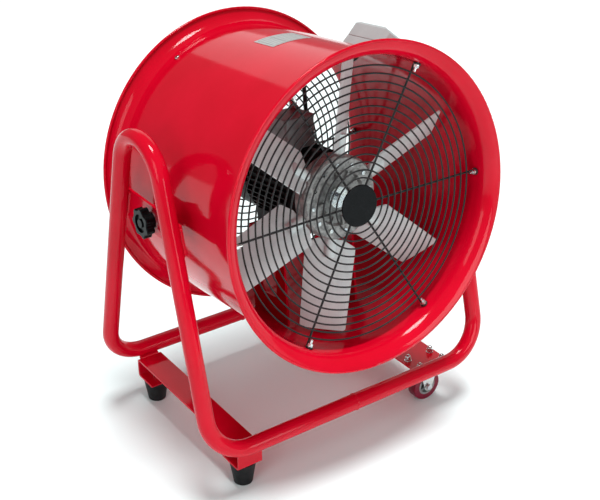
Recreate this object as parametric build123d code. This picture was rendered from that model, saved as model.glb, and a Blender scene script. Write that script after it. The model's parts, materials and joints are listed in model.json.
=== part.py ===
from build123d import *
import math
import os

# Mobile axial drum ventilator on a tilting tube stand, in millimetres.
# Origin: on the floor, under the middle of the whole fan's footprint. +Z up, the air outlet faces -Y.
# The stand is modelled about the point on the floor under the tilt axis, and the drum level
# about its own fan axis (local Y) with its centre on the tilt axis. keep() sets both in place.

# ---- driving dimensions -------------------------------------------------------------------
DUCT_R = 300.0            # inner radius of the 600 mm drum
WALL = 2.0                # drum sheet
BELL_R = 334.0            # outer radius over the rolled lips
FRONT_Y = -278.0          # front lip, along the fan axis
REAR_Y = 225.0            # rear lip, along the fan axis
REST_TILT = -6.6          # degrees about X: outlet raised a little
TILT_Z = 560.0            # height of the tilt axis
TILT_Y = 26.3             # the tilt axis lies this far behind the middle of the footprint

TUBE_R = 18.0             # stand tube, 36 mm
TUBE_WALL = 2.0
SIDE_X = 356.0            # plane of each side hoop
RAIL_Y = 227.0            # front and rear floor rails
RAIL_Z = 118.0
LEG_LEAN = 14.95          # degrees that each leg leans inwards
HOOP_R = 81.0             # arch over the top of each hoop
BEND_R = 90.0            # bend between rail and leg

STRIP_REACH = 216.0       # the cross plates under the rails run this far out along Y
PLATE = 4.0               # their thickness
FOOT_STRIP = (-261.0, 58.0)   # middle and width along X of the plate on the feet side
FOOT_H = 54.0
FOOT_R = (20.0, 28.5)     # radius of a rubber foot at the floor and at its top
FOOT_Y = 186.0            # feet, along Y
CASTER_STRIP = (247.0, 94.0)  # the same for the plate on the caster side
CASTER_X = 247.5
CASTER_Y = 170.5
BOLT_PATTERN = (65.0, 42.0)   # caster plate holes along X and Y
WHEEL_R = 37.5
WHEEL_W = 28.0

FRONT_BOLT_Y = -238.0     # guard bolts through the drum wall
REAR_BOLT_Y = 177.0
GUARD_BOLTS = 6
RING_COUNT = 15
RING_STEP = 15.8
RING_OUTER_R = 278.0
RING_WIRE = 3.5
SPOKE_WIRE = 4.5
GUARD_DISH = 6.0          # how far the guard's centre lies inside its rim
GUARD_SET = 8.6           # spokes pass this far inside the bolts, clear of their nuts

BLADES = 6
BLADE_TIP_R = 288.0
BLADE_ROOT_R = 91.0
BLADE_MID_Y = -147.0
BLADE_PITCH = 41.0
BLADE_START = -100.5      # angle of the first blade in the XZ plane
BLADE_T = 3.5
HUB_R = 88.0
SHANK_R = 12.0
SHAFT_R = 12.0
RUN = 0.05                # radial running clearance

MOTOR_R = 76.0            # motor frame under its fins
FIN_R = 86.0
MOTOR_FRONT = -92.0
MOTOR_BACK = 58.0
MOTOR_FOOT_Z = -90.0

STUD_R = 6.0              # M12 tilt studs
KNOB_R = 32.0
STRAP_X = 335.0           # middle of each pivot strap
STRAP_HALF = (113.0, 29.0)    # half its length at the tilt axis, and half its height

BOX_ANGLE = 50.5          # switch box, angle round the drum
BOX_FRONT, BOX_REAR = -120.0, -2.0
BOX_SEAM_R = 318.0        # where the lid meets the base
BOX_R = 356.0             # top of the lid
BOX_SKIN = 3.0            # wall of the lid and the base
ROCKER_AT = (336.0, -8.0)     # radius and tangential offset of the rocker's pivot
ROCKER_HALF = (11.0, 7.0)
ROCKER_PIN = (1.2, 1.6)       # radius of its pin, and depth of the pin in the lid's rear wall
INLET_AT = (309.5, -22.0)     # radius and tangential offset of the mains gland

TERMINAL_X, TERMINAL_Y = (-48.0, 24.0), (-58.0, 18.0)
TERMINAL_Z = (84.0, 142.0, 150.0)     # bottom, seam and top of the terminal box
GLAND_AT = (6.0, 118.0)       # y and z of the motor gland
GROMMET_ANGLE = BOX_ANGLE + 7
GROMMET_R = 9.0
GROMMET_Y = -40.0
CABLE_R = 4.5

STAND = Location((0, TILT_Y, 0))
DRUM = Location((0, TILT_Y, TILT_Z), (REST_TILT, 0, 0))


# ---- small helpers ------------------------------------------------------------------------
def cyl(radius, p, q, bore=0.0):
    """A round bar, or a tube, from point p to point q."""
    p, q = Vector(p), Vector(q)
    plane = Plane(origin=p, z_dir=(q - p))
    face = Circle(radius) - Circle(bore) if bore else Circle(radius)
    return extrude(plane * face, (q - p).length)


def block(x, y, z):
    """A box between two limits on each axis."""
    size = (x[1] - x[0], y[1] - y[0], z[1] - z[0])
    middle = ((x[0] + x[1]) / 2, (y[0] + y[1]) / 2, (z[0] + z[1]) / 2)
    return Pos(*middle) * Box(*size)


def turned(*points):
    """A ring turned about the fan axis from (radius, y) points."""
    face = make_face(Polyline(*[(r, y) for r, y in points], close=True))
    return revolve(face, Axis.Y)


def hexagon(across, p, q, bore=0.0):
    """A hexagon bar from p to q with an optional bore."""
    p, q = Vector(p), Vector(q)
    face = RegularPolygon(across / 2, 6, major_radius=False)
    if bore:
        face -= Circle(bore)
    return extrude(Plane(origin=p, z_dir=(q - p)) * face, (q - p).length)


def around(shape, angle):
    """Turn a drum piece about the fan axis; angles run from +X towards +Z."""
    return Rot(0, -angle, 0) * shape


def mirror_x(shape):
    return mirror(shape, Plane.YZ)


NODES = {}


def keep(name, *shapes, drum=False):
    """Store one node in its place; drum pieces are also turned to the rest tilt."""
    solids = [s for shape in shapes for s in shape.solids()]
    node = solids[0] if len(solids) == 1 else Compound(children=solids)
    NODES[name] = (DRUM if drum else STAND) * node


# ---- stand --------------------------------------------------------------------------------
def hoop_points():
    """Corner points of the left half loop, from mid front rail to mid rear rail."""
    slope = math.tan(math.radians(LEG_LEAN))
    apex_z = RAIL_Z + RAIL_Y / slope
    return [(0, -RAIL_Y, RAIL_Z), (-SIDE_X, -RAIL_Y, RAIL_Z), (-SIDE_X, 0, apex_z),
            (-SIDE_X, RAIL_Y, RAIL_Z), (0, RAIL_Y, RAIL_Z)]


def frame_tube():
    path = FilletPolyline(*hoop_points(), radius=[BEND_R, HOOP_R, BEND_R])
    section = Plane(origin=path @ 0, z_dir=path % 0) * (Circle(TUBE_R) - Circle(TUBE_R - TUBE_WALL))
    return sweep(section, path=path)


def pivot_strap():
    """Flat bar welded inside the two legs, which carries the tilt stud; its ends lean with the legs."""
    length, height = STRAP_HALF
    thick = 6.0
    lean = height * math.tan(math.radians(LEG_LEAN))
    plane = Plane(origin=(-STRAP_X - thick / 2, 0, TILT_Z), x_dir=(0, 1, 0), z_dir=(1, 0, 0))
    corners = [(-length - lean, -height), (length + lean, -height), (length - lean, height), (-length + lean, height)]
    outline = make_face(Polyline(*corners, close=True))
    outline = fillet(outline.vertices(), 5)
    return extrude(plane * (outline - Circle(STUD_R + 0.6)), thick)


def foot_bracket():
    """Cross plate whose ends fold down and back to carry the feet."""
    top = RAIL_Z - TUBE_R
    bottom = FOOT_H
    middle, width = FOOT_STRIP
    end = STRIP_REACH
    back = 62.0
    outline = FilletPolyline((-end + back, bottom + PLATE / 2), (-end + PLATE / 2, bottom + PLATE / 2),
                             (-end + PLATE / 2, top - PLATE / 2), (end - PLATE / 2, top - PLATE / 2),
                             (end - PLATE / 2, bottom + PLATE / 2), (end - back, bottom + PLATE / 2),
                             radius=5)
    plane = Plane(origin=(middle - width / 2, 0, 0), x_dir=(0, 1, 0), z_dir=(1, 0, 0))
    section = plane * make_face(offset(outline, PLATE / 2 - 0.01, side=Side.BOTH).edges())
    bracket = extrude(section, width)
    for y in (-FOOT_Y, FOOT_Y):
        bracket -= cyl(4.2, (middle, y, bottom - 1), (middle, y, bottom + PLATE + 1))
    return bracket


def rubber_foot(y):
    """Rubber foot, wider at the top, with a recessed underside for its bolt head."""
    x = FOOT_STRIP[0]
    low, high = FOOT_R
    widen = math.degrees(math.atan((high - low) / FOOT_H))
    foot = Pos(x, y, 0) * extrude(Plane.XY * Circle(low), FOOT_H, taper=-widen)
    foot = fillet(foot.edges().group_by(Axis.Z)[0], 2.5)
    foot -= cyl(8.5, (x, y, -1), (x, y, 16))
    return foot - cyl(4.2, (x, y, 15), (x, y, FOOT_H + 1))


def foot_bolt(y):
    """M8 bolt up through a foot, with the nut inside the folded bracket."""
    x = FOOT_STRIP[0]
    head = hexagon(13, (x, y, 9), (x, y, 14.5))
    washer = cyl(8.2, (x, y, 14.5), (x, y, 16), bore=4.0)
    shank = cyl(4.0, (x, y, 14.5), (x, y, FOOT_H + 16))
    nut = hexagon(13, (x, y, FOOT_H + PLATE), (x, y, FOOT_H + PLATE + 6.5), bore=4.0)
    return head + shank, washer, nut


def caster_bracket():
    top = RAIL_Z - TUBE_R
    middle, width = CASTER_STRIP
    sides = (middle - width / 2, middle + width / 2)
    plate = block(sides, (-STRIP_REACH, STRIP_REACH), (top - PLATE, top))
    plate = fillet(plate.edges().filter_by(Axis.Z), 6)
    for x, y in bolt_points():
        plate -= cyl(4.2, (x, y, top - PLATE - 1), (x, y, top + 1))
    return plate


def bolt_points():
    dx, dy = BOLT_PATTERN[0] / 2, BOLT_PATTERN[1] / 2
    centres = (-CASTER_Y, CASTER_Y)
    return [(CASTER_X + sx * dx, c + sy * dy) for c in centres for sx in (-1, 1) for sy in (-1, 1)]


def cap_nut():
    """M8 domed nut with its washer, standing on Z = 0."""
    washer = cyl(8.2, (0, 0, 0), (0, 0, 1.6))
    dome = cyl(6.2, (0, 0, 8), (0, 0, 10.5)) + Pos(0, 0, 10.5) * Sphere(6.2)
    nut = washer + hexagon(13, (0, 0, 1.6), (0, 0, 8.1)) + (dome & block((-7, 7), (-7, 7), (8, 20)))
    return nut - cyl(4.0, (0, 0, -1), (0, 0, 11))


def caster_fork(y):
    """Pressed rigid fork: bolt plate and two tapered legs, axle along Y."""
    top = RAIL_Z - TUBE_R - PLATE
    t = 3.0
    plate = block((CASTER_X - 43, CASTER_X + 43), (y - 33, y + 33), (top - t, top))
    plate = fillet(plate.edges().filter_by(Axis.Z), 7)
    fork = plate
    gap = WHEEL_W / 2 + 1.5
    for side in (-1, 1):
        leg_plane = Plane(origin=(CASTER_X, y + side * gap, 0), x_dir=(1, 0, 0), z_dir=(0, -1, 0))
        outline = make_hull((Pos(0, WHEEL_R) * Circle(11)).edges()
                            + (Pos(0, top - 8) * Rectangle(48, 16)).edges())
        leg = extrude(leg_plane * outline, -side * t)
        fork += leg
    for x, by in bolt_points():
        fork -= cyl(4.2, (x, by, top - 10), (x, by, top + 1))
    return fork - cyl(4.0, (CASTER_X, y - 30, WHEEL_R), (CASTER_X, y + 30, WHEEL_R))


def caster_wheel(y):
    """Grey hub with spokes and a polyurethane tyre bonded round it."""
    half = WHEEL_W / 2
    lie = Location((CASTER_X, y, WHEEL_R))
    hub = turned((4.0 + RUN, -half), (9, -half), (9, -5), (18, -5), (18, -half + 1), (23, -half + 1),
                 (23, half - 1), (18, half - 1), (18, 5), (9, 5), (9, half), (4.0 + RUN, half))
    for k in range(5):
        rib = block((8, 19), (-half + 3, half - 3), (-1.5, 1.5))
        hub += around(rib, 72 * k)
    tread = WHEEL_R - 0.4
    profile = make_face(Polyline((23, -half + 1), (tread - 1.6, -half + 1), (tread, -half + 4), (WHEEL_R, 0),
                                 (tread, half - 4), (tread - 1.6, half - 1), (23, half - 1), close=True))
    return lie * hub, lie * revolve(profile, Axis.Y)


def caster_axle(y):
    reach = WHEEL_W / 2 + 4.5
    head = hexagon(13, (CASTER_X, y - reach - 5.3, WHEEL_R), (CASTER_X, y - reach, WHEEL_R))
    bar = cyl(4.0, (CASTER_X, y - reach - 1, WHEEL_R), (CASTER_X, y + reach + 9, WHEEL_R))
    nut = hexagon(13, (CASTER_X, y + reach, WHEEL_R), (CASTER_X, y + reach + 6.5, WHEEL_R), bore=4.0)
    return head + bar, nut


def build_stand():
    tube = frame_tube()
    keep("frame_tube_left", tube)
    keep("frame_tube_right", mirror_x(tube))
    strap = pivot_strap()
    keep("pivot_strap_left", strap)
    keep("pivot_strap_right", mirror_x(strap))
    keep("foot_bracket", foot_bracket())
    keep("caster_bracket", caster_bracket())
    feet = (-FOOT_Y, FOOT_Y)
    keep("rubber_foot_front", rubber_foot(feet[0]))
    keep("rubber_foot_rear", rubber_foot(feet[1]))
    keep("foot_bolts", *[piece for y in feet for piece in foot_bolt(y)])
    top = RAIL_Z - TUBE_R
    heads, nuts = [], []
    for x, y in bolt_points():
        head_z = top - PLATE - 3
        bolt = hexagon(13, (x, y, head_z - 5.3), (x, y, head_z)) + cyl(4.0, (x, y, head_z - 1), (x, y, top + 11))
        heads.append(bolt)
        nuts.append(Pos(x, y, top) * cap_nut())
    keep("caster_bolts", *heads)
    keep("caster_nuts", *nuts)
    axle_parts = []
    for name, y in (("front", -CASTER_Y), ("rear", CASTER_Y)):
        keep(f"caster_fork_{name}", caster_fork(y))
        hub, tyre = caster_wheel(y)
        keep(f"caster_hub_{name}", hub)
        keep(f"caster_tyre_{name}", tyre)
        axle_parts += list(caster_axle(y))
    keep("caster_axles", *axle_parts)


# ---- drum ---------------------------------------------------------------------------------
def bell(end_y, start_y, joint_y):
    """Spun inlet or outlet bell: short collar, quarter flare and rolled lip."""
    way = 1 if end_y > start_y else -1
    flare = 34.0
    lip = 3.5
    sweep_angle = math.radians(78)
    middle = DUCT_R + WALL / 2
    centre = (middle + flare, start_y)

    def on_arc(radius, angle):
        return centre[0] - radius * math.cos(angle), centre[1] + way * radius * math.sin(angle)

    inner, outer = flare + WALL / 2, flare - WALL / 2
    half = sweep_angle / 2
    edges = [
        Line((DUCT_R, joint_y), (DUCT_R, start_y)),
        ThreePointArc(on_arc(inner, 0), on_arc(inner, half), on_arc(inner, sweep_angle)),
        Line(on_arc(inner, sweep_angle), on_arc(outer, sweep_angle)),
        ThreePointArc(on_arc(outer, sweep_angle), on_arc(outer, half), on_arc(outer, 0)),
        Line((DUCT_R + WALL, start_y), (DUCT_R + WALL, joint_y)),
        Line((DUCT_R + WALL, joint_y), (DUCT_R, joint_y)),
    ]
    sheet = revolve(make_face(edges), Axis.Y)
    lip_ring = revolve(Pos(BELL_R - lip, end_y - way * lip) * Circle(lip), Axis.Y)
    return sheet + lip_ring


def wall_bolt(y):
    """M6 bolt through the drum wall at angle 0: outside head, inside washer and nut."""
    r = DUCT_R + WALL
    head = cyl(5.5, (r, y, 0), (r + 3.4, y, 0))
    head = fillet(head.edges().group_by(Axis.X)[-1], 1.6)
    bolt = head + cyl(3.0, (r - 1, y, 0), (DUCT_R - 19, y, 0))
    washer = cyl(6.2, (DUCT_R - 6.1, y, 0), (DUCT_R - 4.9, y, 0), bore=3.0)
    nut = hexagon(10, (DUCT_R - 6.1, y, 0), (DUCT_R - 11.1, y, 0), bore=3.0)
    return bolt, washer, nut


def guard(bolt_y, way, rings=RING_COUNT, dish=GUARD_DISH):
    """Welded wire guard: rings laid on spokes that end in an eye round each bolt."""
    eye_r, wire = 5.6, SPOKE_WIRE / 2
    eye_at = DUCT_R - 0.4 - wire
    rim_y = bolt_y - way * GUARD_SET
    parts = []
    for k in range(GUARD_BOLTS):
        spoke = cyl(wire, (RING_OUTER_R - RING_COUNT * RING_STEP, rim_y - way * dish, 0), (284, rim_y, 0))
        arm = cyl(wire, (284, rim_y, 0), (DUCT_R - 1.2, rim_y, 0)) + Pos(284, rim_y, 0) * Sphere(wire)
        circle = Plane(origin=(eye_at, bolt_y, 0), x_dir=(0, 1, 0), z_dir=(0, 0, 1))
        eye = revolve(circle * Pos(eye_r, 0) * Circle(wire), Axis((eye_at, bolt_y, 0), (1, 0, 0)))
        parts.append(around(spoke + arm + eye, k * 360 / GUARD_BOLTS))
    lift = wire + RING_WIRE / 2 - 0.15
    for k in range(rings):
        r = RING_OUTER_R - k * RING_STEP
        y = rim_y - way * dish * (1 - r / 284) + way * lift
        parts.append(revolve(Pos(r, y) * Circle(RING_WIRE / 2), Axis.Y))
    return parts


def guard_badge():
    """Blank round plate over the middle of the front guard."""
    spoke_y = FRONT_BOLT_Y + GUARD_SET + GUARD_DISH
    face = spoke_y - SPOKE_WIRE / 2 - 4.2
    disc = cyl(43, (0, face + 3, 0), (0, face, 0))
    return fillet(disc.edges().group_by(Axis.Y)[0], 1.2)


def rating_label():
    """Blank aluminium plate bent to the drum, on top."""
    r = DUCT_R + WALL
    plate = turned((r, -40), (r + 0.8, -40), (r + 0.8, 30), (r, 30))
    wedge = block((-52, 42), (-41, 31), (200, 330))
    return plate & wedge


def pivot_boss():
    """Thick pad welded to the drum side, under the strap."""
    pad = cyl(30, (-STRAP_X + 3.4, 0, 0), (-DUCT_R - 1, 0, 0))
    pad -= cyl(DUCT_R + WALL, (0, -60, 0), (0, 60, 0))
    return pad - cyl(STUD_R, (-STRAP_X - 10, 0, 0), (-290, 0, 0))


def pivot_stud():
    """M12 stud with its head inside the drum wall."""
    head = hexagon(18, (-DUCT_R + 0.6, 0, 0), (-DUCT_R + 8, 0, 0))
    return head + cyl(STUD_R, (-DUCT_R + 1, 0, 0), (-STRAP_X - 27, 0, 0))


def build_drum():
    seam_rear = REAR_BOLT_Y - 12
    seam_front = FRONT_BOLT_Y + 10
    barrel = turned((DUCT_R, seam_front), (DUCT_R + WALL, seam_front), (DUCT_R + WALL, seam_rear),
                    (DUCT_R, seam_rear))
    front = bell(FRONT_Y, FRONT_BOLT_Y - 5, seam_front)
    rear = bell(REAR_Y, REAR_BOLT_Y + 12, seam_rear)
    bolts, nuts = [], []
    for y in (FRONT_BOLT_Y, REAR_BOLT_Y):
        hole = cyl(3.3, (DUCT_R - 3, y, 0), (DUCT_R + 5, y, 0))
        for k in range(GUARD_BOLTS):
            angle = k * 360 / GUARD_BOLTS
            if y < 0:
                front -= around(hole, angle)
            else:
                rear -= around(hole, angle)
            bolt, washer, nut = wall_bolt(y)
            bolts.append(around(bolt, angle))
            nuts += [around(washer, angle), around(nut, angle)]
    for side in (-1, 1):
        barrel -= cyl(STUD_R, (side * 290, 0, 0), (side * 310, 0, 0))
    barrel -= around(cyl(GROMMET_R, (DUCT_R - 6, GROMMET_Y, 0), (DUCT_R + 8, GROMMET_Y, 0)), GROMMET_ANGLE)
    keep("drum_barrel", barrel, drum=True)
    keep("bell_front", front, drum=True)
    keep("bell_rear", rear, drum=True)
    keep("guard_bolts", *bolts, drum=True)
    keep("guard_nuts", *nuts, drum=True)
    keep("guard_front", *guard(FRONT_BOLT_Y, -1), drum=True)
    keep("guard_rear", *guard(REAR_BOLT_Y, 1), drum=True)
    keep("guard_badge", guard_badge(), drum=True)
    keep("rating_label", rating_label(), drum=True)
    boss, stud = pivot_boss(), pivot_stud()
    keep("pivot_bosses", boss, mirror_x(boss), drum=True)
    keep("pivot_studs", stud, mirror_x(stud), drum=True)


# ---- switch box on the drum ---------------------------------------------------------------
def box_frame(shape):
    """Place a piece drawn with +X pointing away from the drum at the box's angle."""
    return around(shape, BOX_ANGLE)


def cable_grommet():
    """Rubber grommet in the drum wall under the switch box."""
    groove = GROMMET_R - 0.1
    ring = turned((CABLE_R, -3.5), (12, -3.5), (12, -1.2), (groove, -1.2), (groove, 1.2), (12, 1.2), (12, 3.5),
                  (CABLE_R, 3.5))
    return around(Pos(DUCT_R + 1, GROMMET_Y, 0) * (Rot(0, 0, 90) * ring), GROMMET_ANGLE)


def box_prism(corners):
    """Prism along the fan axis from corners given as (radius, tangential offset)."""
    plane = Plane(origin=(0, BOX_FRONT, 0), x_dir=(1, 0, 0), z_dir=(0, 1, 0))
    face = plane * make_face(Polyline(*[(r, -z) for r, z in corners], close=True))
    return extrude(face, BOX_REAR - BOX_FRONT)


def rounded(shape, radius):
    return fillet(shape.edges().filter_by(Axis.Y), radius)


def front_slope():
    """Cutter for the sloping front of the lid."""
    side = 80.0
    plane = Plane(origin=(0, 0, -side), x_dir=(1, 0, 0), z_dir=(0, 0, 1))
    corners = [(BOX_R - 14, BOX_FRONT), (BOX_R, BOX_FRONT + 36), (BOX_R + 6, BOX_FRONT + 36), (BOX_R + 6, BOX_FRONT - 2),
               (BOX_R - 14, BOX_FRONT - 2)]
    return extrude(plane * make_face(Polyline(*corners, close=True)), 2 * side)


def switch_box_base():
    base = rounded(box_prism([(296, -58), (296, 58), (BOX_SEAM_R, 54), (BOX_SEAM_R, -54)]), 2)
    base -= cyl(DUCT_R + WALL, (0, BOX_FRONT - 5, 0), (0, BOX_REAR + 5, 0))
    base -= block((304, BOX_SEAM_R + 1), (BOX_FRONT + BOX_SKIN, BOX_REAR - BOX_SKIN), (-48, 48))
    clearance = cyl(12.2, (DUCT_R - 2, GROMMET_Y, 0), (DUCT_R + 12, GROMMET_Y, 0))
    base -= around(clearance, GROMMET_ANGLE - BOX_ANGLE)
    r, z = INLET_AT
    return base - cyl(8.0, (r, BOX_REAR - 6, z), (r, BOX_REAR + 1, z))


def switch_box_lid():
    lid = rounded(box_prism([(BOX_SEAM_R, -53), (BOX_SEAM_R, 54), (BOX_R - 7, 50), (BOX_R, 40), (BOX_R, -32),
                             (BOX_R - 13, -51)]), 2)
    lid -= front_slope()
    lid -= block((BOX_SEAM_R - 1, BOX_R - BOX_SKIN), (BOX_FRONT + 38, BOX_REAR - BOX_SKIN), (-29, 38))
    lid -= block((BOX_SEAM_R - 1, BOX_R - 17), (BOX_FRONT + BOX_SKIN, BOX_REAR - BOX_SKIN), (-47, 48))
    r, z = ROCKER_AT
    half_r, half_z = ROCKER_HALF
    gap = 0.6
    lid -= block((r - half_r - gap, r + half_r + gap), (BOX_REAR - 5, BOX_REAR + 1), (z - half_z - gap, z + half_z + gap))
    return lid - rocker_pin(ROCKER_PIN[0] + RUN)


def rocker_pin(radius):
    """The rocker's pin, or the hole for it in the lid's rear wall."""
    r, z = ROCKER_AT
    reach = ROCKER_HALF[1] + 2.6
    y = BOX_REAR - ROCKER_PIN[1]
    return cyl(radius, (r, y, z - reach), (r, y, z + reach))


def rocker():
    """On-off rocker in the rear face of the lid, at rest in its off position."""
    r, z = ROCKER_AT
    half_r, half_z = ROCKER_HALF
    y = BOX_REAR - ROCKER_PIN[1]
    cap = block((r - half_r, r + half_r), (BOX_REAR - 2.6, BOX_REAR + 2.4), (z - half_z, z + half_z))
    cap -= cyl(40, (r, BOX_REAR + 41.2, z - 10), (r, BOX_REAR + 41.2, z + 10))
    return Pos(r, y, 0) * Rot(0, 0, 7) * Pos(-r, -y, 0) * cap + rocker_pin(ROCKER_PIN[0])


def inlet_gland():
    """Cable gland for the mains lead, empty, in the rear wall of the base."""
    r, z = INLET_AT
    body = cyl(6.4, (r, BOX_REAR - 5, z), (r, BOX_REAR + 9, z), bore=4.5)
    collar = hexagon(13, (r, BOX_REAR, z), (r, BOX_REAR + 4, z), bore=6.4)
    cap = cyl(6.8, (r, BOX_REAR + 9, z), (r, BOX_REAR + 17, z), bore=4.5)
    return body + collar + cap


def build_switch_box():
    lid = switch_box_lid()
    screws = []
    for y in (BOX_FRONT + 45, BOX_REAR - 9):
        for z in (-25, 33):
            screw = cyl(3.4, (BOX_R - 2.4, y, z), (BOX_R, y, z))
            lid -= screw
            screws.append(box_frame(screw - block((BOX_R - 0.9, BOX_R + 1), (y - 4, y + 4), (z - 0.5, z + 0.5))))
    keep("switch_box_base", box_frame(switch_box_base()), drum=True)
    keep("switch_box_lid", box_frame(lid), drum=True)
    keep("switch_box_screws", *screws, drum=True)
    keep("switch_rocker", box_frame(rocker()), drum=True)
    keep("inlet_gland", box_frame(inlet_gland()), drum=True)
    keep("cable_grommet", cable_grommet(), drum=True)


# ---- motor --------------------------------------------------------------------------------
def motor_frame():
    """Aluminium frame with axial cooling fins and two feet."""
    body = turned((MOTOR_R - 6, MOTOR_FRONT), (MOTOR_R, MOTOR_FRONT), (MOTOR_R, MOTOR_BACK),
                  (MOTOR_R - 6, MOTOR_BACK))
    for k in range(40):
        angle = 9 * k
        if 67 < angle < 113:
            continue
        reach = FIN_R if not 230 < angle < 310 else MOTOR_R + 5
        fin = block((MOTOR_R - 1, reach), (MOTOR_FRONT + 3, MOTOR_BACK - 3), (-1.2, 1.2))
        body += around(fin, angle)
    for x in (-58, 58):
        foot = block((x - 17, x + 17), (MOTOR_FRONT + 22, MOTOR_BACK - 22), (MOTOR_FOOT_Z, -52))
        foot -= cyl(MOTOR_R - 3, (0, MOTOR_FRONT, 0), (0, MOTOR_BACK, 0))
        for y in FOOT_BOLT_Y:
            foot -= cyl(5.0, (x * 1.05, y, -100), (x * 1.05, y, -40))
            foot -= cyl(10.0, (x * 1.05, y, MOTOR_FOOT_Z + 10), (x * 1.05, y, -40))
        body += foot
    pad = block((-38, 16), (-54, 14), (MOTOR_R - 8, MOTOR_R + 8)) - cyl(MOTOR_R - 3, (0, -99, 0), (0, 60, 0))
    return body + pad


FOOT_BOLT_Y = (-62.0, 28.0)


def end_shield(face_y, way):
    """Cast end shield: spigot, flange and bearing boss, thickest at the middle."""
    inner = MOTOR_R - 6.2
    points = [(13.5, face_y + way * 17), (26, face_y + way * 17), (30, face_y + way * 8), (70, face_y + way * 6),
              (80, face_y), (inner, face_y), (inner, face_y - way * 6), (inner - 6, face_y - way * 6),
              (inner - 8, face_y - way * 1), (24, face_y - way * 1), (24, face_y + way * 13),
              (13.5, face_y + way * 13)]
    return turned(*points)


def bearing(face_y, way):
    near, far = face_y - way * 1, face_y + way * 13
    return turned((SHAFT_R + RUN, near), (24, near), (24, far), (SHAFT_R + RUN, far))


def stator():
    core = turned((46, -60), (MOTOR_R - 6, -60), (MOTOR_R - 6, 30), (46, 30))
    for k in range(18):
        core -= around(block((44, 60), (-61, 31), (-2.5, 2.5)), 20 * k)
    ends = [turned((49, y0), (64, y0), (62, y1), (51, y1)) for y0, y1 in ((-60, -78), (30, 46))]
    return core, ends


def motor_bracket():
    """Folded saddle between the motor feet and the bottom of the drum."""
    top = MOTOR_FOOT_Z
    t = 5.0
    half = 92.0
    y0, y1 = MOTOR_FRONT + 14, MOTOR_BACK - 8
    saddle = block((-half, half), (y0, y1), (-310, top)) - block((-half + t, half - t), (y0 - 1, y1 + 1), (-311, top - t))
    saddle = saddle & cyl(DUCT_R, (0, y0 - 1, 0), (0, y1 + 1, 0))
    window = Rot(0, 90, 0) * extrude(RectangleRounded(90, 60, 14), 100, both=True)
    saddle -= Pos(0, (y0 + y1) / 2, -190) * window
    for x in (-58, 58):
        for y in FOOT_BOLT_Y:
            saddle -= cyl(5.0, (x * 1.05, y, top - 10), (x * 1.05, y, top + 1))
    return saddle


def motor_bolts():
    parts = []
    for x in (-58, 58):
        for y in FOOT_BOLT_Y:
            cx = x * 1.05
            z = MOTOR_FOOT_Z + 10
            head = hexagon(13, (cx, y, z + 1.6), (cx, y, z + 7))
            washer = cyl(8.0, (cx, y, z), (cx, y, z + 1.6), bore=4.0)
            shank = cyl(4.0, (cx, y, z + 2), (cx, y, MOTOR_FOOT_Z - 15))
            nut = hexagon(13, (cx, y, MOTOR_FOOT_Z - 5), (cx, y, MOTOR_FOOT_Z - 11.5), bore=4.0)
            parts += [head + shank, washer, nut]
    return parts


def fan_cowl():
    """Pressed cowl over the cooling fan, with a slotted air grille in its back."""
    y0, y1, t = MOTOR_BACK + 1, MOTOR_BACK + 66, 1.6
    cowl = turned((82.2, y0), (84, y0), (84, y1 - 10), (76, y1), (14, y1), (14, y1 - t), (75, y1 - t), (82.2, y1 - 11))
    for ring, count in ((26, 8), (42, 12), (58, 16)):
        for k in range(count):
            slot = Pos(ring, y1 - 2, 0) * Box(9, 8, 5.5)
            cowl -= around(slot, (k + 0.5) * 360 / count)
    return cowl


def cooling_fan():
    y0, y1 = MOTOR_BACK + 22, MOTOR_BACK + 48
    fan = turned((SHAFT_R, y0), (22, y0), (22, y0 + 4), (60, y0 + 4), (60, y0 + 7), (22, y0 + 7), (22, y1), (SHAFT_R, y1))
    for k in range(8):
        fan += around(block((20, 70), (y0 + 6, y1), (-1.2, 1.2)), 45 * k)
    return fan


def terminal_box():
    z0, z1, z2 = TERMINAL_Z
    box = block(TERMINAL_X, TERMINAL_Y, (z0, z1))
    box = fillet(box.edges().filter_by(Axis.Z), 6)
    inside = block((TERMINAL_X[0] + 3, TERMINAL_X[1] - 3), (TERMINAL_Y[0] + 3, TERMINAL_Y[1] - 3), (z0 + 3, z1 + 1))
    box -= fillet(inside.edges().filter_by(Axis.Z), 4)
    box -= cyl(7.0, (TERMINAL_X[1] - 5, GLAND_AT[0], GLAND_AT[1]), (TERMINAL_X[1] + 1, GLAND_AT[0], GLAND_AT[1]))
    lid = block((TERMINAL_X[0] - 1, TERMINAL_X[1] + 1), (TERMINAL_Y[0] - 1, TERMINAL_Y[1] + 1), (z1, z2))
    lid = fillet(lid.edges().filter_by(Axis.Z), 7)
    lid = fillet(lid.edges().group_by(Axis.Z)[-1], 3)
    return box, lid


def motor_gland():
    y, z = GLAND_AT
    x = TERMINAL_X[1]
    body = cyl(7.0, (x - 3, y, z), (x + 5, y, z), bore=CABLE_R)
    nut = hexagon(18, (x, y, z), (x + 4, y, z), bore=CABLE_R)
    cap = cyl(8.2, (x + 4, y, z), (x + 12, y, z), bore=CABLE_R)
    return body + nut + fillet(cap.edges().group_by(Axis.X)[-1].sort_by(Edge.length)[-1:], 2)


def cable_points():
    """Route of the motor lead, from the gland up to the grommet, in drum coordinates."""
    angle = math.radians(GROMMET_ANGLE)

    def out(radius, y):
        return radius * math.cos(angle), y, radius * math.sin(angle)

    y, z = GLAND_AT
    return [(TERMINAL_X[1] - 3, y, z), (TERMINAL_X[1] + 23, y, z), (44, y - 3, 206), (62, -12, 248),
            (116, -34, 238), out(276, GROMMET_Y), out(DUCT_R + 6, GROMMET_Y)]


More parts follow.
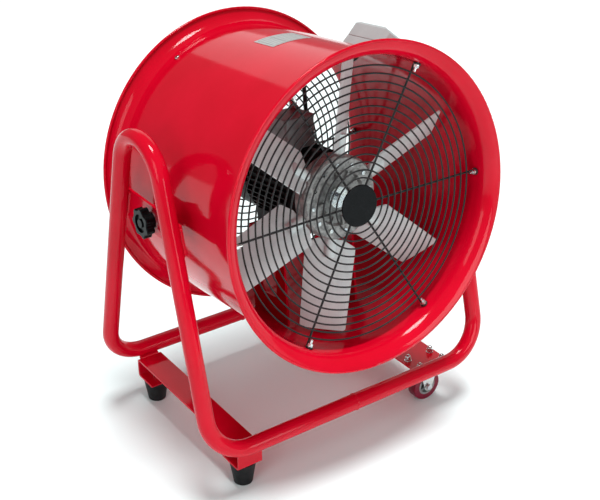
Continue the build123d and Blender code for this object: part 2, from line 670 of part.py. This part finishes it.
def motor_cable():
    points = [Vector(p) for p in cable_points()]
    radii = []
    for before, at, after in zip(points, points[1:], points[2:]):
        turn = math.radians((at - before).get_angle(after - at))
        short = min((at - before).length, (after - at).length)
        radii.append(0.45 * short / math.tan(turn / 2))
    print("cable radii", [round(r) for r in radii])
    path = FilletPolyline(*points, radius=radii)
    cable = sweep(Plane(origin=path @ 0, z_dir=path % 0) * Circle(CABLE_R), path=path)
    print("cable length", round(path.length), "volume ratio",
          round(cable.volume / (math.pi * CABLE_R ** 2 * path.length), 3))
    return cable


def build_motor():
    keep("motor_frame", motor_frame(), drum=True)
    core, ends = stator()
    keep("stator_core", core, drum=True)
    keep("stator_windings", *ends, drum=True)
    keep("end_shield_drive", end_shield(MOTOR_FRONT, -1), drum=True)
    keep("end_shield_rear", end_shield(MOTOR_BACK, 1), drum=True)
    keep("motor_bearings", bearing(MOTOR_FRONT, -1), bearing(MOTOR_BACK, 1), drum=True)
    keep("fan_cowl", fan_cowl(), drum=True)
    keep("motor_bracket", motor_bracket(), drum=True)
    keep("motor_bolts", *motor_bolts(), drum=True)
    box, lid = terminal_box()
    keep("terminal_box", box, drum=True)
    keep("terminal_box_lid", lid, drum=True)
    keep("motor_gland", motor_gland(), drum=True)
    keep("motor_cable", motor_cable(), drum=True)


# ---- rotor --------------------------------------------------------------------------------
HUB_FRONT, HUB_REAR = BLADE_MID_Y - 20.0, BLADE_MID_Y + 20.0


def blade():
    """Flat pitched blade with its round root shank, drawn pointing along +X."""
    root_half, tip_half = 52.0, 48.0
    tip_x = math.sqrt(BLADE_TIP_R ** 2 - (tip_half * math.cos(math.radians(BLADE_PITCH))) ** 2)
    edges = [
        Line((BLADE_ROOT_R + 14, -root_half), (tip_x, -tip_half)),
        ThreePointArc((tip_x, -tip_half), (BLADE_TIP_R - 0.8, 0), (tip_x, tip_half)),
        Line((tip_x, tip_half), (BLADE_ROOT_R + 14, root_half)),
        Line((BLADE_ROOT_R + 14, root_half), (BLADE_ROOT_R, root_half - 26)),
        Line((BLADE_ROOT_R, root_half - 26), (BLADE_ROOT_R, -root_half + 26)),
        Line((BLADE_ROOT_R, -root_half + 26), (BLADE_ROOT_R + 14, -root_half)),
    ]
    plate = extrude(make_face(edges), BLADE_T / 2, both=True)
    plate = fillet(plate.edges().filter_by(Axis.Z), 7)
    whole = plate + cyl(SHANK_R, (56, 0, 0), (128, 0, 0))
    # The chord lies along local Y before pitching; its leading edge turns towards the outlet.
    return Pos(0, BLADE_MID_Y, 0) * (Rot(90 + BLADE_PITCH, 0, 0) * whole)


def hub_half(front):
    """One half of the split hub that clamps the blade shanks."""
    y0 = HUB_FRONT if front else HUB_REAR
    way = 1 if front else -1
    mid = BLADE_MID_Y
    if front:
        points = [(30.1, y0 + 8), (54, y0 + 8), (58, y0), (HUB_R - 5, y0), (HUB_R, y0 + 5), (HUB_R, mid), (50, mid),
                  (50, y0 + 14), (30.1, y0 + 14)]
    else:
        points = [(SHAFT_R, HUB_FRONT + 10), (30, HUB_FRONT + 10), (30, y0 - 8), (50, y0 - 8), (50, mid), (HUB_R, mid),
                  (HUB_R, y0 - 5), (HUB_R - 5, y0), (58, y0), (54, y0 - 2), (SHAFT_R, y0 - 2)]
    half = turned(*points)
    for k in range(12):
        if front:
            web = block((40, 60), (y0 + 1, y0 + 12), (-2, 2)) - turned((20, y0 + 2), (44, y0 + 9), (20, y0 + 9))
            half += around(web, BLADE_START + 15 + 30 * k)
        spot = BLADE_START + 30 * k + 15
        half -= around(cyl(2.5, (70, mid - way * 30, 0), (70, mid + 1 * way, 0)), spot)
    for k in range(BLADES):
        socket = cyl(SHANK_R, (56, mid, 0), (HUB_R + 5, mid, 0))
        half -= around(socket, BLADE_START + 60 * k)
    return half


def build_rotor():
    keep("motor_shaft", turned((0, HUB_FRONT + 10), (SHAFT_R - 1, HUB_FRONT + 10), (SHAFT_R, HUB_FRONT + 11),
                               (SHAFT_R, MOTOR_BACK + 50), (0, MOTOR_BACK + 50)), drum=True)
    keep("rotor_core", turned((SHAFT_R, -58), (45.4, -58), (45.4, 28), (SHAFT_R, 28)), drum=True)
    keep("cooling_fan", cooling_fan(), drum=True)
    keep("impeller_hub", hub_half(False), drum=True)
    keep("hub_clamp_ring", hub_half(True), drum=True)
    keep("impeller_blades", *[around(blade(), BLADE_START + 60 * k) for k in range(BLADES)], drum=True)
    bolts = []
    for k in range(12):
        head = hexagon(8, (70, HUB_FRONT - 3.5, 0), (70, HUB_FRONT, 0))
        bolt = head + cyl(2.5, (70, HUB_FRONT - 1, 0), (70, HUB_REAR, 0))
        nut = hexagon(8, (70, HUB_REAR, 0), (70, HUB_REAR + 4, 0), bore=2.5)
        bolts += [around(bolt, BLADE_START + 30 * k + 15), around(nut, BLADE_START + 30 * k + 15)]
    keep("hub_bolts", *bolts, drum=True)
    y = HUB_FRONT + 10
    washer = cyl(22, (0, y - 3, 0), (0, y, 0), bore=5)
    screw = hexagon(16, (0, y - 10, 0), (0, y - 3, 0))
    keep("shaft_screw", washer, screw, drum=True)


# ---- tilt knobs ---------------------------------------------------------------------------
def knob():
    """Seven-lobed black clamping knob on the left stud, drawn in world coordinates."""
    base_x = -STRAP_X - 3 - 2.5
    head_x = base_x - 10
    face_x = base_x - 27
    plane = Plane(origin=(head_x, 0, 0), x_dir=(0, 1, 0), z_dir=(-1, 0, 0))
    star = Circle(KNOB_R - 4)
    for k in range(7):
        star += Rot(0, 0, k * 360 / 7) * Pos(KNOB_R - 8, 0) * Circle(8)
    for k in range(7):
        star -= Rot(0, 0, (k + 0.5) * 360 / 7) * Pos(KNOB_R + 1, 0) * Circle(6)
    head = extrude(plane * star, head_x - face_x)
    head = fillet(head.edges().group_by(Axis.X)[0], 2.5)
    recess = cyl(KNOB_R - 13, (face_x - 1, 0, 0), (face_x + 4, 0, 0)) - cyl(9, (face_x - 1, 0, 0), (face_x + 4, 0, 0))
    neck = cyl(17, (head_x, 0, 0), (base_x, 0, 0))
    body = head + neck - recess
    return body - cyl(STUD_R + RUN, (base_x + 1, 0, 0), (face_x + 3, 0, 0))


def clamp_washer():
    outer = -STRAP_X - 3
    return cyl(18, (outer, 0, 0), (outer - 2.5, 0, 0), bore=STUD_R + RUN)


def build_knobs():
    piece, washer = knob(), clamp_washer()
    keep("knob_left", piece, drum=True)
    keep("knob_right", mirror_x(piece), drum=True)
    keep("clamp_washer_left", washer, drum=True)
    keep("clamp_washer_right", mirror_x(washer), drum=True)


build_stand()
build_drum()
build_switch_box()
build_motor()
build_rotor()
build_knobs()

os.makedirs("parts", exist_ok=True)
for name, shape in NODES.items():
    export_step(shape, f"parts/{name}.step")
print(len(NODES), "nodes")
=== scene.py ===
"""Looks of the mobile drum ventilator: materials, weld beads, a blanked gland, label rules, studio and camera."""
import json
import math

import bmesh
import bpy
from mathutils import Matrix, Vector


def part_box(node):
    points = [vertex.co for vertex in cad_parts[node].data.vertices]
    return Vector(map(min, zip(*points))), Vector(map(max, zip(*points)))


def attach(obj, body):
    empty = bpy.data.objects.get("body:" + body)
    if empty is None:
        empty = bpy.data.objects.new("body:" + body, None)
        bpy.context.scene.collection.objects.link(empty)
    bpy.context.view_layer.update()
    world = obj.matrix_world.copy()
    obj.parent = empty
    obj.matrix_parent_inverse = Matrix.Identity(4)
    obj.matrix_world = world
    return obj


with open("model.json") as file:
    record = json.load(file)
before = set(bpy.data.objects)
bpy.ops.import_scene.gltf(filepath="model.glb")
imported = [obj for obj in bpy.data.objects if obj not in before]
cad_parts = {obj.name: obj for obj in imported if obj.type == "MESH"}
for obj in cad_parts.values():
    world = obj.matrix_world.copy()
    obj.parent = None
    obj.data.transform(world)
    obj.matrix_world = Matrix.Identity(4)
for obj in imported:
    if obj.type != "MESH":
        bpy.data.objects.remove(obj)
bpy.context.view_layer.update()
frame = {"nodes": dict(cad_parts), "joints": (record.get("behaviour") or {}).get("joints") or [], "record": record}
nodes = frame["nodes"]

MM = 0.001

# ---- sizes: read from the frame where it holds them ---------------------------------------
tilt_joint = next(j for j in frame["joints"] if j["name"] == "drum_tilt")
spin_joint = next(j for j in frame["joints"] if j["name"] == "impeller_spin")
PIVOT = Vector(tilt_joint["pos_m"])
FAN_AXIS = Vector(spin_joint["axis"]).normalized()
REST_TILT = math.atan2(FAN_AXIS.z, FAN_AXIS.y)
DRUM_TURN = Matrix.Rotation(REST_TILT, 3, "X")

TUBE_R = 18 * MM
DRUM_R = 302 * MM
BOSS_WELD_R = 31.5 * MM
LID_TOP = 150 * MM
LEG_LEAN = math.radians(14.95)
STRAP_LOW, STRAP_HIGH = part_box("pivot_strap_left")
STRAP_FACE = STRAP_LOW.x
RAIL_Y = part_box("frame_tube_left")[1].y - TUBE_R - PIVOT.y
RAIL_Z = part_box("frame_tube_left")[0].z + TUBE_R
PLATE_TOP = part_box("caster_bracket")[1].z

WELD_STEP = 1.1 * MM
WELD_RIPPLE = 3.4


def on_drum(x, y, z):
    """World position of a point given in the drum's own frame."""
    return PIVOT + DRUM_TURN @ Vector((x, y, z))


# ---- node helpers -------------------------------------------------------------------------
class Tree:
    """A material's node tree with short calls for the nodes used here."""

    def __init__(self, name):
        self.material = bpy.data.materials.new(name)
        self.material.use_nodes = True
        self.tree = self.material.node_tree
        self.shader = self.tree.nodes["Principled BSDF"]

    def add(self, kind, inputs=(), **settings):
        node = self.tree.nodes.new(kind)
        for key, value in settings.items():
            setattr(node, key, value)
        for key, value in dict(inputs).items():
            self.put(value, node.inputs[key])
        return node

    def put(self, value, socket):
        if isinstance(value, bpy.types.NodeSocket):
            self.tree.links.new(value, socket)
        else:
            socket.default_value = value

    def place(self):
        """Position on the piece, which turns and tilts with it."""
        return self.add("ShaderNodeTexCoord").outputs["Object"]

    def noise(self, scale, detail=3.0, rough=0.5, where=None):
        node = self.add("ShaderNodeTexNoise", {"Scale": scale, "Detail": detail, "Roughness": rough,
                                               "Vector": where or self.place()})
        return node.outputs["Fac"]

    def span(self, value, low, high, start=0.3, end=0.7):
        """Maps a texture value onto a range."""
        node = self.add("ShaderNodeMapRange", {"Value": value, "From Min": start, "From Max": end,
                                               "To Min": low, "To Max": high})
        return node.outputs["Result"]

    def tint(self, value, dark, light):
        """Mixes two colours by a texture value."""
        node = self.add("ShaderNodeMix", data_type="RGBA")
        self.put(value, node.inputs["Factor"])
        self.put((*dark, 1), node.inputs[6])
        self.put((*light, 1), node.inputs[7])
        return node.outputs[2]

    def math(self, operation, a, b=0.0):
        node = self.add("ShaderNodeMath", operation=operation)
        self.put(a, node.inputs[0])
        self.put(b, node.inputs[1])
        return node.outputs[0]

    def bump(self, height, depth, below=None):
        """Surface relief; depth is the height of the texture's full range in metres."""
        node = self.add("ShaderNodeBump", {"Height": height, "Distance": depth, "Strength": 1.0})
        if below is not None:
            self.put(below, node.inputs["Normal"])
        return node.outputs["Normal"]

    def finish(self, **sockets):
        """Fills the shader's sockets, named as in base_color, and gives the material."""
        for key, value in sockets.items():
            self.put(value, self.shader.inputs[key.replace("_", " ").title().replace("Ior", "IOR")])
        return self.material


def drum_place(t):
    """Position in the drum's own frame: Y along the fan axis, origin on the tilt axis."""
    moved = t.add("ShaderNodeVectorMath", {0: t.place(), 1: tuple(PIVOT)}, operation="SUBTRACT")
    turn = t.add("ShaderNodeVectorRotate", {"Vector": moved.outputs[0], "Angle": -REST_TILT},
                 rotation_type="X_AXIS")
    return turn.outputs[0]


def drum_parts(t):
    """X, Y and Z in the drum's own frame, and the distance from the fan axis."""
    x, y, z = t.add("ShaderNodeSeparateXYZ", {0: drum_place(t)}).outputs
    radius = t.math("SQRT", t.math("ADD", t.math("MULTIPLY", x, x), t.math("MULTIPLY", z, z)))
    return x, y, z, radius


def polar_place(t, across, along):
    """Noise coordinates that stretch along the radius: (angle x across, y, radius x along)."""
    x, y, z, radius = drum_parts(t)
    joined = t.add("ShaderNodeCombineXYZ", {0: t.math("MULTIPLY", t.math("ARCTAN2", z, x), across), 1: y,
                                            2: t.math("MULTIPLY", radius, along)})
    return joined.outputs[0]


# ---- materials ----------------------------------------------------------------------------
def red_gloss_paint():
    """Bright red gloss powder coat with a faint orange peel; a thinner, drier coat inside the drum."""
    t = Tree("red_gloss_paint")
    outside = t.math("GREATER_THAN", drum_parts(t)[3], DRUM_R - 1 * MM)
    colour = t.tint(t.span(t.noise(9, 4), 0, 1), (0.54, 0.0010, 0.014), (0.61, 0.0016, 0.019))
    return t.finish(base_color=colour, roughness=t.span(t.noise(60, 5), 0.06, 0.12),
                    specular_ior_level=t.math("ADD", 0.05, t.math("MULTIPLY", outside, 0.15)),
                    normal=t.bump(t.noise(340, 2), 0.00003))


def black_wire():
    """Dip-coated wire."""
    t = Tree("black_wire")
    return t.finish(base_color=t.tint(t.noise(80, 4), (0.006, 0.006, 0.007), (0.016, 0.016, 0.017)),
                    specular_ior_level=0.3, roughness=t.span(t.noise(300, 3), 0.36, 0.52),
                    normal=t.bump(t.noise(900, 2), 0.00004))


def zinc_steel():
    """Bright zinc plate with fine turning marks and a slight blue and yellow cast."""
    t = Tree("zinc_steel")
    cast = t.tint(t.span(t.noise(70, 3), 0, 1), (0.62, 0.61, 0.55), (0.60, 0.64, 0.70))
    return t.finish(base_color=cast, metallic=1.0, roughness=t.span(t.noise(420, 4), 0.14, 0.30),
                    normal=t.bump(t.noise(1400, 2), 0.00002))


def blade_aluminium():
    """Satin cast aluminium, brushed outwards along each blade."""
    t = Tree("blade_aluminium")
    streak = t.noise(1.0, 4, 0.6, where=polar_place(t, 420, 9))
    grey = t.math("ADD", t.math("MULTIPLY", streak, 0.5), t.math("MULTIPLY", t.noise(34, 4), 0.5))
    return t.finish(base_color=t.tint(t.span(grey, 0, 1), (0.60, 0.64, 0.645), (0.78, 0.82, 0.825)),
                    metallic=0.12, roughness=t.span(streak, 0.42, 0.58),
                    normal=t.bump(streak, 0.00006, t.bump(t.noise(520, 3), 0.00004)))


def steel_machined():
    """Turned steel: fine rings round the fan axis."""
    t = Tree("steel_machined")
    rings = t.noise(1.0, 3, 0.6, where=polar_place(t, 6, 2600))
    return t.finish(base_color=t.tint(rings, (0.40, 0.40, 0.41), (0.58, 0.58, 0.59)), metallic=1.0,
                    roughness=t.span(rings, 0.20, 0.36), normal=t.bump(rings, 0.00003))


def lamination_steel():
    """Stacked thin sheets under varnish."""
    t = Tree("lamination_steel")
    sheets = t.add("ShaderNodeTexWave", {"Scale": 320.0, "Distortion": 0.2, "Vector": drum_place(t)},
                   bands_direction="Y").outputs["Fac"]
    stained = t.math("MULTIPLY", sheets, t.noise(60, 4))
    return t.finish(base_color=t.tint(stained, (0.16, 0.13, 0.11), (0.40, 0.38, 0.36)),
                    metallic=0.9, roughness=0.42, normal=t.bump(sheets, 0.00012))


def copper_windings():
    """Enamelled copper turns laid round the stator ends."""
    t = Tree("copper_windings")
    turns = t.noise(1.0, 2, 0.5, where=polar_place(t, 6, 1300))
    return t.finish(base_color=t.tint(t.span(turns, 0, 1), (0.30, 0.085, 0.03), (0.72, 0.27, 0.10)),
                    metallic=0.85, roughness=0.32, normal=t.bump(turns, 0.0005))


def cable_black():
    """Rubber cable sheath."""
    t = Tree("cable_black")
    skin = t.noise(500, 3)
    return t.finish(base_color=t.tint(skin, (0.005, 0.005, 0.006), (0.012, 0.012, 0.013)),
                    specular_ior_level=0.25, roughness=t.span(skin, 0.42, 0.58), normal=t.bump(skin, 0.00008))


def tyre_red():
    """Dark red polyurethane, slightly translucent, scuffed on the tread."""
    t = Tree("tyre_red")
    scuff = t.noise(160, 5, 0.6)
    return t.finish(base_color=t.tint(t.span(scuff, 0, 1), (0.13, 0.001, 0.014), (0.22, 0.003, 0.028)),
                    specular_ior_level=0.3, roughness=t.span(scuff, 0.26, 0.44),
                    subsurface_weight=0.12, subsurface_scale=0.004, normal=t.bump(scuff, 0.00012))


def label_silver():
    """Silver foil, brushed along the plate."""
    t = Tree("label_silver")
    stretched = t.add("ShaderNodeMapping", {"Vector": t.place(), "Scale": (60, 2400, 60)}).outputs[0]
    grain = t.noise(1.0, 4, 0.6, where=stretched)
    return t.finish(base_color=t.tint(t.span(grain, 0, 1), (0.42, 0.43, 0.42), (0.50, 0.51, 0.50)),
                    metallic=0.35, roughness=t.span(grain, 0.34, 0.46), normal=t.bump(grain, 0.00002))


def label_ink():
    """Dark grey print for the label's rules."""
    t = Tree("label_ink")
    return t.finish(base_color=t.tint(t.noise(400, 3), (0.10, 0.105, 0.11), (0.17, 0.175, 0.18)),
                    roughness=t.span(t.noise(300, 2), 0.4, 0.5))


def moulded(name, mottle, dark, light, skin, roughness, relief, **more):
    """A cast or moulded surface: soft mottling of the colour, and a fine skin with its own relief."""
    t = Tree(name)
    grain = t.noise(*skin)
    return t.finish(base_color=t.tint(t.span(t.noise(*mottle), 0, 1), dark, light),
                    roughness=t.span(grain, *roughness), normal=t.bump(grain, relief), **more)


MATERIALS = {
    # sand-cast aluminium: grainy, with darker hollows
    "hub_aluminium": moulded("hub_aluminium", (90, 6, 0.65), (0.10, 0.10, 0.10), (0.50, 0.50, 0.49),
                             (650, 4, 0.7), (0.40, 0.62), 0.00035, metallic=0.5),
    # painted castings of the motor and its terminal box
    "motor_black": moulded("motor_black", (40, 4), (0.003, 0.003, 0.004), (0.009, 0.009, 0.010),
                           (420, 5, 0.65), (0.36, 0.58), 0.0002, specular_ior_level=0.15),
    "terminal_grey": moulded("terminal_grey", (50, 4), (0.13, 0.145, 0.147), (0.26, 0.28, 0.282),
                             (520, 4, 0.6), (0.34, 0.55), 0.00018, metallic=0.1),
    # mouldings with a fine spark-eroded skin
    "grey_plastic": moulded("grey_plastic", (18, 3), (0.38, 0.385, 0.385), (0.44, 0.445, 0.445),
                            (1100, 3), (0.40, 0.52), 0.00005),
    "black_plastic": moulded("black_plastic", (45, 3), (0.0015, 0.0015, 0.002), (0.004, 0.004, 0.005),
                             (800, 3), (0.16, 0.32), 0.00009, specular_ior_level=0.1),
    # matt rubber with a slight bloom
    "rubber_black": moulded("rubber_black", (70, 5), (0.004, 0.004, 0.005), (0.014, 0.014, 0.015),
                            (600, 4), (0.45, 0.65), 0.0001, specular_ior_level=0.2),
    "caster_grey": moulded("caster_grey", (120, 3), (0.20, 0.205, 0.205), (0.32, 0.325, 0.325),
                           (700, 3), (0.25, 0.40), 0.00006, metallic=0.4),
}
for make in (red_gloss_paint, black_wire, zinc_steel, blade_aluminium, steel_machined, lamination_steel,
             copper_windings, cable_black, tyre_red, label_silver):
    MATERIALS[make.__name__] = make()
INK = label_ink()


def dress_cad_nodes():
    """Every carried-over node takes its slot's material and smooth shading up to its real edges."""
    slots = {s["node"]: s["material_slot"] for s in frame["record"]["subparts"]}
    for name, obj in nodes.items():
        obj.data.materials.clear()
        obj.data.materials.append(MATERIALS[slots[name]])
        for face in obj.data.polygons:
            face.use_smooth = True
            face.material_index = 0


# ---- pieces -------------------------------------------------------------------------------
def piece_from(name, bm, slot, body, material=None, smooth=True):
    """Makes an object of a bmesh, in its slot's material, riding on a body."""
    mesh = bpy.data.meshes.new(name)
    bm.to_mesh(mesh)
    bm.free()
    for face in mesh.polygons:
        face.use_smooth = smooth
    obj = bpy.data.objects.new(name, mesh)
    bpy.context.scene.collection.objects.link(obj)
    obj.data.materials.append(material or MATERIALS[slot])
    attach(obj, body)
    return obj


def bridge(bm, a, b):
    """Joins two rings of vertices with a band of faces."""
    for k in range(len(a)):
        n = (k + 1) % len(a)
        bm.faces.new((a[k], a[n], b[n], b[k]))


def close_ends(bm, rings):
    bm.faces.new(list(reversed(rings[0])))
    bm.faces.new(rings[-1])


def add_bead(bm, points, normals, width, closed=False, sides=10):
    """Adds a rippled weld bead along a line of points: each ring is a rounded lens on the surface."""
    count = len(points)
    rings = []
    for i, (p, n) in enumerate(zip(points, normals)):
        ahead = points[(i + 1) % count] if closed or i < count - 1 else p
        behind = points[i - 1] if closed or i > 0 else p
        side = (ahead - behind).normalized().cross(n).normalized()
        swell = 1.0 + 0.12 * math.sin(i * math.tau / WELD_RIPPLE)
        if not closed:
            swell *= min(1.0, 0.35 + 0.3 * min(i, count - 1 - i))
        half, height = width * swell, width * 0.55 * swell
        angles = [k * math.tau / sides for k in range(sides)]
        rings.append([bm.verts.new(p + side * math.cos(a) * half + n * math.sin(a) * height) for a in angles])
    for a, b in zip(rings, rings[1:]):
        bridge(bm, a, b)
    if closed:
        bridge(bm, rings[-1], rings[0])
    else:
        close_ends(bm, rings)


def straight_points(start, end):
    count = max(4, int((end - start).length / WELD_STEP))
    return [start.lerp(end, i / count) for i in range(count + 1)]


def strap_welds():
    """Fillet welds between each strap and the two legs it crosses."""
    bm = bmesh.new()
    half_height = (STRAP_HIGH.z - STRAP_LOW.z) / 2 - 2 * MM
    leg_at_pivot = RAIL_Y - (PIVOT.z - RAIL_Z) * math.tan(LEG_LEAN)
    face = abs(STRAP_FACE) + 1.6 * MM
    toe = 9.5 * MM / math.cos(LEG_LEAN)
    for side in (-1, 1):
        for way in (-1, 1):
            for edge in (-1, 1):
                ends = []
                for up in (-1, 1):
                    leg = leg_at_pivot - up * half_height * math.tan(LEG_LEAN)
                    ends.append(Vector((side * face, PIVOT.y + way * leg + edge * toe, PIVOT.z + up * half_height)))
                points = straight_points(*ends)
                normal = Vector((side, edge * 0.9, 0)).normalized()
                add_bead(bm, points, [normal] * len(points), 4.6 * MM)
    return piece_from("strap_welds", bm, "red_gloss_paint", "stand")


def rail_welds():
    """Welds where the floor rails sit on the cross plates, and the butt welds at mid rail."""
    bm = bmesh.new()
    edge_inset, end_inset, lift = 2 * MM, 5 * MM, 1.2 * MM
    for name in ("foot_bracket", "caster_bracket"):
        low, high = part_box(name)
        for way in (-1, 1):
            y = PIVOT.y + way * (high.y - PIVOT.y - edge_inset)
            points = straight_points(Vector((low.x + end_inset, y, PLATE_TOP + lift)),
                                     Vector((high.x - end_inset, y, PLATE_TOP + lift)))
            add_bead(bm, points, [Vector((0, -way * 0.6, 0.8))] * len(points), 5.2 * MM)
    turns = 90
    normals = [Vector((0, math.cos(i * math.tau / turns), math.sin(i * math.tau / turns))) for i in range(turns)]
    for way in (-1, 1):
        centre = Vector((0, PIVOT.y + way * RAIL_Y, RAIL_Z))
        add_bead(bm, [centre + n * (TUBE_R - 0.2 * MM) for n in normals], normals, 2.6 * MM, closed=True)
    return piece_from("rail_welds", bm, "red_gloss_paint", "stand")


def boss_welds():
    """Weld round each pivot boss where it meets the drum."""
    bm = bmesh.new()
    turns = 170
    for side in (-1, 1):
        points, normals = [], []
        for i in range(turns):
            across, up = math.cos(i * math.tau / turns), math.sin(i * math.tau / turns)
            z = BOSS_WELD_R * up
            points.append(on_drum(side * math.sqrt(DRUM_R ** 2 - z ** 2), BOSS_WELD_R * across, z))
            normals.append((DRUM_TURN @ Vector((side * 0.75, across * 0.65, up * 0.65))).normalized())
        add_bead(bm, points, normals, 3.6 * MM, closed=True)
    return piece_from("boss_welds", bm, "red_gloss_paint", "housing")


def gland_blank():
    """Blanked metal gland standing on the terminal box lid: hexagon, barrel and a black plug."""
    foot_x, foot_y = 14 * MM, 4 * MM

    def turned(name, slot, profile, sides, twist=0.0, smooth=True):
        """A closed turned shape from (radius, height) pairs in millimetres."""
        bm = bmesh.new()
        angles = [twist + k * math.tau / sides for k in range(sides)]
        rings = [[bm.verts.new(on_drum(foot_x + r * MM * math.cos(a), foot_y + r * MM * math.sin(a), LID_TOP + z * MM))
                  for a in angles] for r, z in profile]
        for a, b in zip(rings, rings[1:]):
            bridge(bm, a, b)
        close_ends(bm, rings)
        return piece_from(name, bm, slot, "housing", smooth=smooth)

    turned("gland_blank_hexagon", "zinc_steel", ((10.2, 0.02), (11.2, 0.6), (11.2, 6.4), (10.2, 7.0)), 6,
           twist=0.3, smooth=False)
    turned("gland_blank_barrel", "zinc_steel",
           ((8.2, 7.02), (8.6, 7.6), (8.6, 15.0), (7.8, 17.2), (6.6, 18.0)), 48)
    turned("gland_blank_plug", "rubber_black",
           ((5.6, 18.02), (6.2, 18.6), (6.2, 23.0), (5.4, 24.2), (3.0, 24.8)), 48)


def label_rules():
    """Blank ruled table printed on the rating plate: no lettering."""
    bm = bmesh.new()
    radius = DRUM_R + 0.9 * MM
    left, right = -46 * MM, 36 * MM
    front, rear = -34 * MM, 24 * MM
    first_column = left + 30 * MM
    line, depth, step = 0.9 * MM, 0.5 * MM, 3 * MM
    rows = 5

    def strip(x0, x1, y0, y1):
        """A thin bar that follows the drum's curve."""
        count = max(1, int((x1 - x0) / step))
        row = []
        for i in range(count + 1):
            x = x0 + (x1 - x0) * i / count
            z = math.sqrt(radius ** 2 - x ** 2)
            row.append([bm.verts.new(on_drum(x, y, z - dz)) for y in (y0, y1) for dz in (0, depth)])
        for a, b in zip(row, row[1:]):
            for p, q in ((0, 2), (2, 3), (3, 1), (1, 0)):
                bm.faces.new((a[p], a[q], b[q], b[p]))
        bm.faces.new([row[0][k] for k in (0, 1, 3, 2)])
        bm.faces.new([row[-1][k] for k in (2, 3, 1, 0)])

    for i in range(rows + 1):
        y = front + (rear - front) * i / rows
        strip(left, right, y - line / 2, y + line / 2)
    for x in (left, first_column, right):
        strip(x - line / 2, x + line / 2, front, rear)
    return piece_from("label_rules", bm, "label_silver", "housing", INK)


# ---- studio -------------------------------------------------------------------------------
def build_floor():
    bpy.ops.mesh.primitive_plane_add(size=14)
    floor = bpy.context.object
    floor.name = "floor"
    t = Tree("floor_pale")
    t.finish(base_color=t.tint(t.noise(2.0, 2), (0.83, 0.94, 0.94), (0.85, 0.96, 0.96)), roughness=0.9,
             specular_ior_level=0.1)
    floor.data.materials.append(t.material)


def build_world():
    world = bpy.data.worlds.new("studio")
    bpy.context.scene.world = world
    world.use_nodes = True
    background = world.node_tree.nodes["Background"]
    background.inputs["Color"].default_value = (1.0, 1.0, 1.0, 1)
    background.inputs["Strength"].default_value = 0.25


def build_lights():
    """A wide soft sun nearly overhead, and softboxes to the left, in front and behind."""
    def softbox(name, at, aim, size, power):
        light = bpy.data.lights.new(name, "AREA")
        light.shape = "RECTANGLE"
        light.size, light.size_y = size
        light.energy = power
        obj = bpy.data.objects.new(name, light)
        obj.location = at
        obj.rotation_mode = "QUATERNION"
        obj.rotation_quaternion = (Vector(aim) - Vector(at)).to_track_quat("-Z", "Y")
        bpy.context.scene.collection.objects.link(obj)

    softbox("left", (-2.6, -1.4, 1.8), (0, 0, 0.5), (1.2, 2.0), 24)
    softbox("front", (0.5, -3.2, 1.0), (0, 0, 0.4), (1.8, 1.2), 32)
    softbox("rear", (1.7, 2.5, 2.3), (0, 0, 0.7), (3.4, 2.0), 18)
    sun = bpy.data.lights.new("overhead", "SUN")
    sun.energy, sun.angle = 3.1, math.radians(20)
    obj = bpy.data.objects.new("overhead", sun)
    obj.rotation_euler = (math.radians(5), math.radians(2), 0)
    bpy.context.scene.collection.objects.link(obj)


def build_camera():
    """Camera placed from its bearing, height angle and distance to the point it looks at."""
    azimuth, elevation, distance = math.radians(-35.16), math.radians(28.01), 2.5737
    target = Vector((0.0165, PIVOT.y, 0.3841))
    back = Vector((math.sin(azimuth) * math.cos(elevation), -math.cos(azimuth) * math.cos(elevation),
                   math.sin(elevation)))
    data = bpy.data.cameras.new("camera")
    data.sensor_width, data.lens = 36.0, 70.37
    camera = bpy.data.objects.new("camera", data)
    camera.location = target + back * distance
    camera.rotation_mode = "QUATERNION"
    camera.rotation_quaternion = (-back).to_track_quat("-Z", "Y")
    bpy.context.scene.collection.objects.link(camera)
    bpy.context.scene.camera = camera


dress_cad_nodes()
strap_welds()
rail_welds()
boss_welds()
gland_blank()
label_rules()
build_floor()
build_world()
build_lights()
build_camera()
bpy.context.scene.view_settings.view_transform = "Standard"
